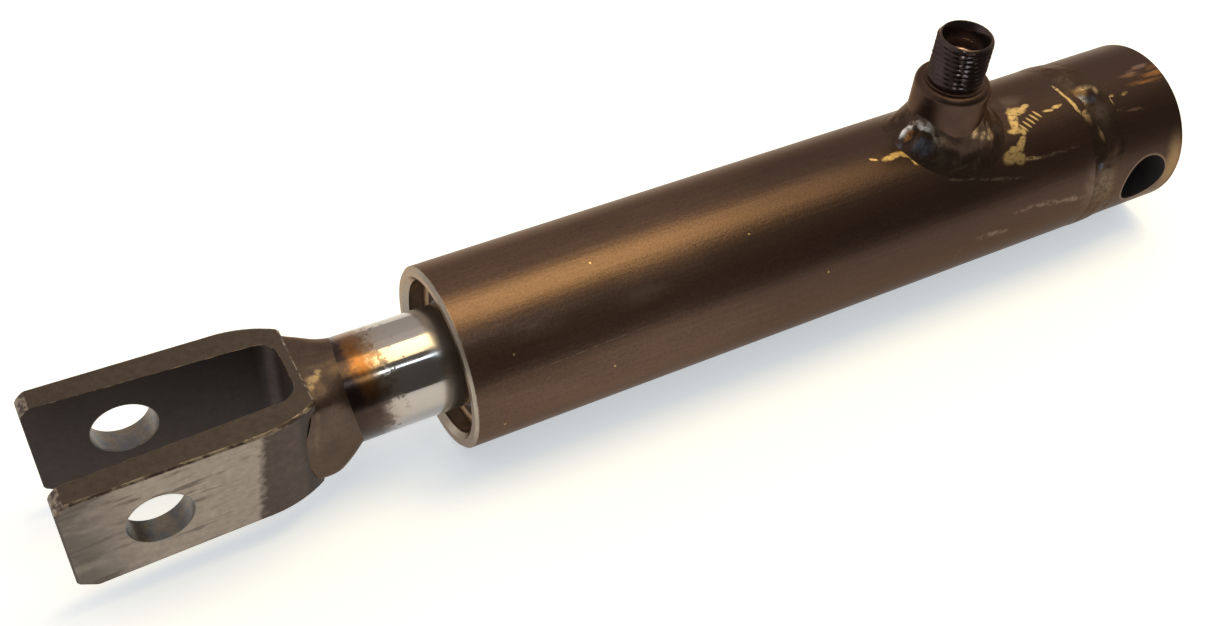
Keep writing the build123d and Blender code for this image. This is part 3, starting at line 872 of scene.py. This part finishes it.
def welds():
    silver = (0.52, 0.47, 0.42)
    # painted highlight: near-white colour for the port weld's glints
    painted_glint_white = (0.92, 0.92, 0.92)
    orange = (0.80, 0.36, 0.13)
    blue = (0.125, 0.14, 0.19)
    gold = (0.46, 0.32, 0.17)
    pale = (0.125, 0.092, 0.066)
    dark = (0.058, 0.037, 0.028)
    port_tints = [
        (pale, PORT_WELD_PALE),
        (gold, PORT_WELD_GOLD),
        (silver, PORT_WELD_SILVER),
        (blue, PORT_WELD_BLUE),
        (orange, PORT_WELD_ORANGE),
        (painted_glint_white, PORT_WELD_GLINTS),
    ]
    ring_tints = [(pale, RING_WELD_PALE), (gold, RING_WELD_GOLD), (blue, RING_WELD_BLUE)]
    clevis_tints = [(pale, CLEVIS_WELD_PALE), (gold, CLEVIS_WELD_GOLD)]
    port_metal = weld_metal("port_weld_metal", barrel_radius, dark, port_tints)
    ring_metal = weld_metal("ring_weld_metal", barrel_radius, dark, ring_tints)
    clevis_metal = weld_metal("clevis_weld_metal", rod_radius, (0.086, 0.060, 0.048), clevis_tints)
    add_piece("port_weld", port_weld(), port_metal, "barrel", "port_weld_bead")
    add_piece("ring_weld", ring_weld(), ring_metal, "barrel", "rear_weld_bead")
    add_piece("clevis_weld", clevis_weld(), clevis_metal, "rod", "clevis_weld_bead")


# ---------------------------------------------------------------- floor, light, camera
def floor():
    size = 3.0
    low = cad_box[0][2]
    mesh = bpy.data.meshes.new("floor")
    corners = [(-size, -size, low), (size, -size, low), (size, size, low), (-size, size, low)]
    mesh.from_pydata(corners, [], [(0, 1, 2, 3)])
    graph = Graph("floor_paper")
    colour = graph.blend(graph.noise(6, 3), (0.86, 0.86, 0.86), (0.89, 0.89, 0.89))
    glow = {"Emission_Color": (0.9, 0.96, 1.0), "Emission_Strength": 0.55}
    mesh.materials.append(graph.finish(colour, 0.8, 0.0, **glow))
    piece = bpy.data.objects.new("floor", mesh)
    bpy.context.collection.objects.link(piece)


def area_light(name, place, aim, size_x, size_y, power, colour):
    data = bpy.data.lights.new(name, "AREA")
    data.shape = "RECTANGLE"
    data.size = size_x
    data.size_y = size_y
    data.energy = power
    data.color = colour
    lamp = bpy.data.objects.new(name, data)
    lamp.location = place
    lamp.rotation_euler = (Vector(aim) - Vector(place)).to_track_quat("-Z", "Y").to_euler()
    bpy.context.collection.objects.link(lamp)


def world_light():
    """Pale wall and ceiling on the -Y side, fading to a dark room behind the camera."""
    world = bpy.data.worlds.new("studio")
    world.use_nodes = True
    bpy.context.scene.world = world
    tree = world.node_tree
    background = tree.nodes["Background"]
    place = tree.nodes.new("ShaderNodeTexCoord")
    split = tree.nodes.new("ShaderNodeSeparateXYZ")
    turn = tree.nodes.new("ShaderNodeMapRange")
    turn.inputs["From Min"].default_value = -1.0
    ramp_node = tree.nodes.new("ShaderNodeValToRGB")
    ramp = ramp_node.color_ramp
    levels = [
        (0.0, 0.55),
        (0.15, 0.66),
        (0.32, 0.85),
        (0.5, 0.5),
        (0.66, 0.16),
        (0.78, 0.09),
        (1.0, 0.08),
    ]
    for _ in range(len(levels) - 2):
        ramp.elements.new(0.5)
    for element, (position, level) in zip(ramp.elements, levels):
        element.position = position
        element.color = (level, level, level, 1.0)
    tree.links.new(place.outputs["Generated"], split.inputs[0])
    tree.links.new(split.outputs["Y"], turn.inputs["Value"])
    tree.links.new(turn.outputs["Result"], ramp_node.inputs[0])
    tree.links.new(ramp_node.outputs["Color"], background.inputs["Strength"])
    background.inputs["Color"].default_value = (1.0, 0.93, 0.88, 1.0)


def camera():
    data = bpy.data.cameras.new("camera")
    data.sensor_width = 36.0
    data.lens = 43.88
    data.shift_x = 0.0009
    data.shift_y = 0.0047
    data.clip_start = 0.01
    view = bpy.data.objects.new("camera", data)
    back = Vector((0.36262, 0.58023, 0.72927))
    up = Vector((-0.30893, -0.66345, 0.68147))
    right = up.cross(back).normalized()
    up = back.cross(right).normalized()
    turn = Matrix((right, up, back.normalized())).transposed().to_4x4()
    view.matrix_world = Matrix.Translation((0.32208, 0.23624, 0.28946)) @ turn
    bpy.context.collection.objects.link(view)
    bpy.context.scene.camera = view


finish_nodes()
eased_pieces()
nipple = threaded_nipple()
add_piece("threaded_nipple", nipple, nipple_steel(), "barrel", "port_nipple")
welds()
floor()
area_light("overhead", (-0.15, -0.09, 1.0), (-0.15, -0.09, 0), 0.22, 0.50, 2.3, (1.0, 0.81, 0.34))
area_light("overhead_rear", (-0.38, -0.09, 1.0), (-0.38, -0.09, 0), 0.24, 0.50, 1.4, (1.0, 0.81, 0.38))
area_light("rod_glow", (0.06, -0.035, 1.0), (0.06, -0.035, 0), 0.20, 0.62, 1.5, (1.0, 0.82, 0.48))
area_light("lamp", (0.02, 0.57, 1.0), (0.02, 0, 0), 0.24, 0.06, 0.42, (0.72, 0.88, 1.0))
area_light("thread_glint", (0.33, 0.35, 1.0), (0.07, 0, 0), 0.09, 0.12, 0.34, (0.86, 0.92, 1.0))
world_light()
camera()
bpy.context.scene.view_settings.view_transform = "Standard"
